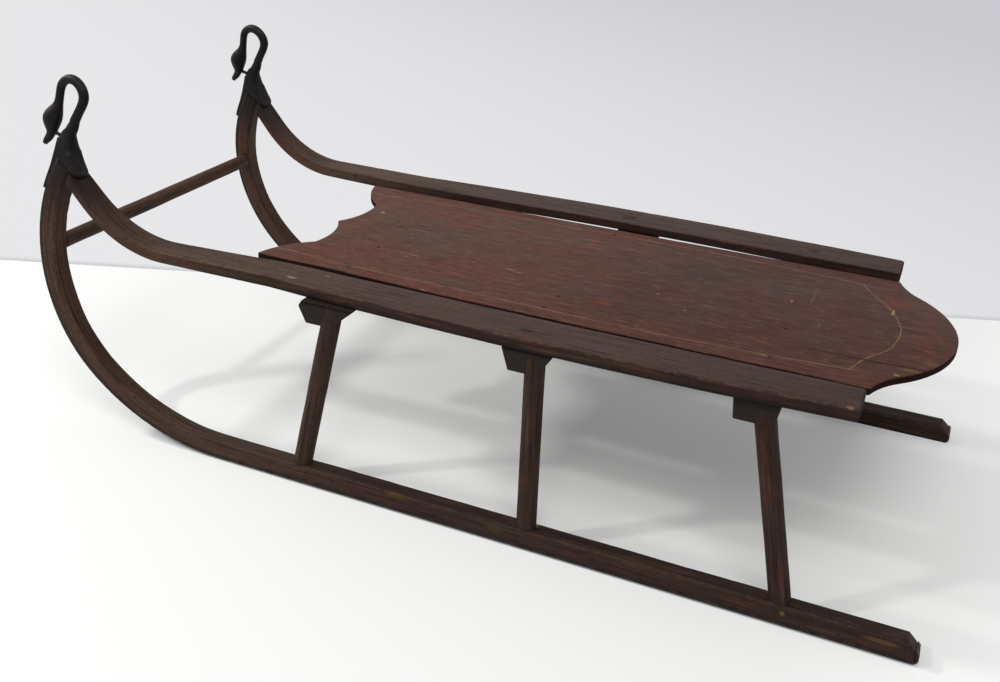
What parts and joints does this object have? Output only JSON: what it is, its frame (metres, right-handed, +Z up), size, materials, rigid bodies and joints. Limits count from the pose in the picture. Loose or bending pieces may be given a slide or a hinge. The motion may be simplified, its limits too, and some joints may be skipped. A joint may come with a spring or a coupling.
{
  "type": "child sled",
  "caption": "Old wooden child's sled with bent, iron-shod runners, splayed legs, side rails swept up to cast swan-head finials, and a thin red seat board with fine line striping.",
  "frame": {"origin": "on the floor, at the middle of the sled's length and width", "axes": "+X forward, towards the finials; +Y to the sled's left; +Z up"},
  "size_m": [0.9192, 0.4088, 0.3673],
  "materials": {
    "dark_wood": "old dark finish over hardwood, worn through on the edges",
    "painted_board": "old barn-red paint with thin ochre stripes, worn and scratched",
    "cast_iron": "blackened casting, rubbed on the high spots",
    "iron_strip": "dark wrought strip, rubbed under the runners"
  },
  "bodies": {
    "root": {"runner_left": "dark_wood", "runner_right": "dark_wood", "shoe_left": "iron_strip", "shoe_right": "iron_strip", "rail_left": "dark_wood", "rail_right": "dark_wood", "finial_left": "cast_iron", "finial_right": "cast_iron", "crossbar_front": "dark_wood", "crossbar_middle": "dark_wood", "crossbar_rear": "dark_wood", "leg_front_left": "dark_wood", "leg_front_right": "dark_wood", "leg_middle_left": "dark_wood", "leg_middle_right": "dark_wood", "leg_rear_left": "dark_wood", "leg_rear_right": "dark_wood", "rung": "dark_wood", "seat_board": "painted_board"}
  },
  "joints": []
}
